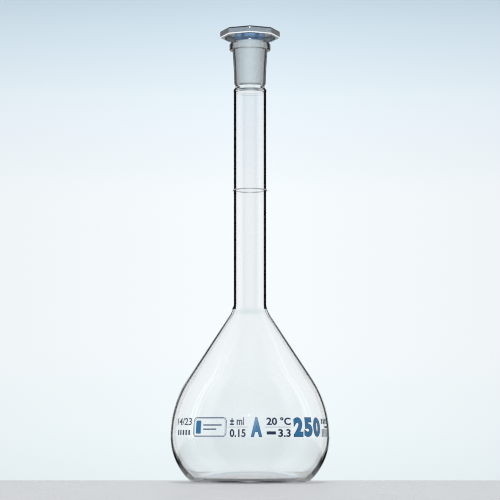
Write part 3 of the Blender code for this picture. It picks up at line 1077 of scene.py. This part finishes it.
def build_lights(table, clear, enamels, socket, cloudy):
    """Above the camera small lights for glints and soft ones to fill in, and two over the table."""
    front_lamp("glint", 0.03, 0.8, clear).visible_transmission = False
    front_lamp("fill", 0.24, 6.5, enamels, [table])
    for name, energy, receivers in (("joint_fill", 7.0, [socket]), ("head_fill", 4.4, cloudy)):
        fill = front_lamp(name, 0.3, energy, receivers, [table])
        fill.visible_glossy = False
        fill.visible_transmission = False
        fill.data.color = COOL
    corner_glint = front_lamp("corner_glint", 0.06, 10.0, cloudy)
    corner_glint.visible_diffuse = False
    corner_glint.visible_transmission = False
    add_lamp("overhead", 0.8, 7.0, None, (0, -0.1, 1.0), [table], [table])
    add_lamp("overhead_shadow", 0.3, 2.5, None, (0, -0.05, 1.0), [table])


def turn_with_camera(piece):
    turning = piece.constraints.new("COPY_ROTATION")
    turning.target = bpy.context.scene.camera
    turning.use_x = False
    turning.use_y = False


def floor_material():
    made, tree, shader = new_material("pale_table")
    tone = noise(tree, 60, 4.0, (1, 8, 1))
    colour = ramp(tree, tone, (0.3, (0.50, 0.51, 0.52)), (0.7, (0.58, 0.59, 0.60)))
    # painted light: rays other than the camera's see the table at 0.16 of its colour, so it bounces little
    # light and shows dark in the glass; within about 36 to 60 mm of the flask's middle it stays full, a
    # painted reflection of the bright backdrop in the glossy table under the glass
    path = node(tree, "ShaderNodeLightPath")
    place = node(tree, "ShaderNodeTexCoord")
    away = node(tree, "ShaderNodeVectorMath", operation="LENGTH")
    tree.links.new(place.outputs["Object"], away.inputs[0])
    under = smooth_step(tree, away.outputs["Value"], 60 * MM, 36 * MM)
    full = maths(tree, "MAXIMUM", path.outputs["Is Camera Ray"], under)
    seen = node(tree, "ShaderNodeMapRange", To_Min=0.16, To_Max=1.0)
    tree.links.new(full, seen.inputs["Value"])
    tree.links.new(multiplied(tree, colour, seen.outputs["Result"]), shader.inputs["Base Color"])
    shader.inputs["Roughness"].default_value = 0.5
    return made


def build_floor():
    mesh = bpy.data.meshes.new("table")
    shape = bmesh.new()
    bmesh.ops.create_cube(shape, size=1.0)
    back, front, half, thick = 32 * MM, 600 * MM, 450 * MM, 25 * MM
    bmesh.ops.scale(shape, vec=(2 * half, back + front, thick), verts=shape.verts)
    bmesh.ops.translate(shape, vec=(0, (back - front) / 2, -thick / 2), verts=shape.verts)
    bmesh.ops.bevel(shape, geom=shape.edges[:], offset=1.0 * MM, segments=3, affect="EDGES")
    shape.to_mesh(mesh)
    shape.free()
    mesh.materials.append(floor_material())
    table = bpy.data.objects.new("table", mesh)
    bpy.context.scene.collection.objects.link(table)
    turn_with_camera(table)  # its far edge stays behind the flask from every side
    return table


def set_light_paths():
    """Long paths for the many walls, and a clamp that keeps speckle out of plug and ground joint."""
    scene = bpy.context.scene
    scene.view_settings.view_transform = "Standard"
    scene.cycles.max_bounces = 32
    scene.cycles.transmission_bounces = 28
    scene.cycles.glossy_bounces = 12
    scene.cycles.transparent_max_bounces = 32
    scene.cycles.use_denoising = True
    scene.cycles.denoising_input_passes = "RGB"
    scene.cycles.blur_glossy = 1.0
    scene.cycles.sample_clamp_indirect = 1.5
    scene.cycles.filter_width = 1.1


def build_glass():
    """Bulb, neck and socket; each glass gets painted shade, darkened by its own amount towards its outline.
    """
    bulb_glass = glass_material("bulb_glass", BULB_TINT, 90, (1, 1, 1))
    # painted shade: the bulb's outline is darkened near its foot only, the neck's and socket's all along
    paint_dark_outline(bulb_glass, BULB_TINT, (0.62, 1.0), (0.80, 0.65), (0.92, 0.45), below=18 * MM)
    neck_glass = glass_material("neck_glass", TUBE_TINT, 400, (1, 1, 0.02))
    paint_dark_outline(neck_glass, TUBE_TINT, (0.475, 1.0), (0.505, 0.07), (0.90, 0.07))
    socket_glass = glass_material("socket_glass", TUBE_TINT, 400, (1, 1, 0.02))
    paint_dark_outline(socket_glass, TUBE_TINT, (0.45, 1.0), (0.50, 0.30), (0.58, 0.30), (0.70, 0.65))
    weld = weld_material()
    bulb = build_bulb(bulb_glass, weld)
    neck = build_neck(neck_glass, weld)
    socket = build_socket(socket_glass, ground_material(), weld)
    return bulb, neck, socket


def build_stopper():
    """The head, as five copies of one plastic with painted shade, whose lip also glows with painted light,
    and the plug.
    """
    flat = head_material("natural_polyethylene_flat_painted_shade", 0.6, (0.15, 1.0), (0.50, 0.62), (0.68, 0.35))
    # painted shade: a dark band under the top edge, darker sides and a darker underside
    edge = head_material("natural_polyethylene_painted_dark_edge", 0.1, (0.0, 0.15), (0.60, 0.03))
    side_shade = ((0.10, 0.95), (0.40, 0.50), (0.60, 0.16), (0.66, 0.03))
    side = head_material("natural_polyethylene_side_painted_shade", 0.3, *side_shade)
    under = head_material("natural_polyethylene_under_painted_shade", 0.25, (0.0, 0.35), (0.80, 0.22))
    head = build_head(flat, edge, side, painted_glow_lip_material(), under)
    return head, build_plug(plug_material())


def build():
    bulb, neck, socket = build_glass()
    ring = build_ring_mark(enamel_material("ring_enamel", (0.60, 0.61, 0.66), (0.72, 0.73, 0.78)))
    head, plug = build_stopper()
    blue = enamel_material("blue_enamel", (0.015, 0.17, 0.42), (0.04, 0.30, 0.60))
    navy = enamel_material("navy_enamel", (0.004, 0.05, 0.17), (0.012, 0.09, 0.25))
    dark = enamel_material("dark_enamel", (0.012, 0.03, 0.08), (0.03, 0.06, 0.14))
    grey = enamel_material("grey_enamel", (0.20, 0.27, 0.33), (0.30, 0.37, 0.43))
    enamels = [ring] + build_print(blue, navy, dark, grey)
    build_world()
    build_camera()
    build_lights(build_floor(), [bulb, neck, head, plug], enamels, socket, [head, plug])
    set_light_paths()


build()
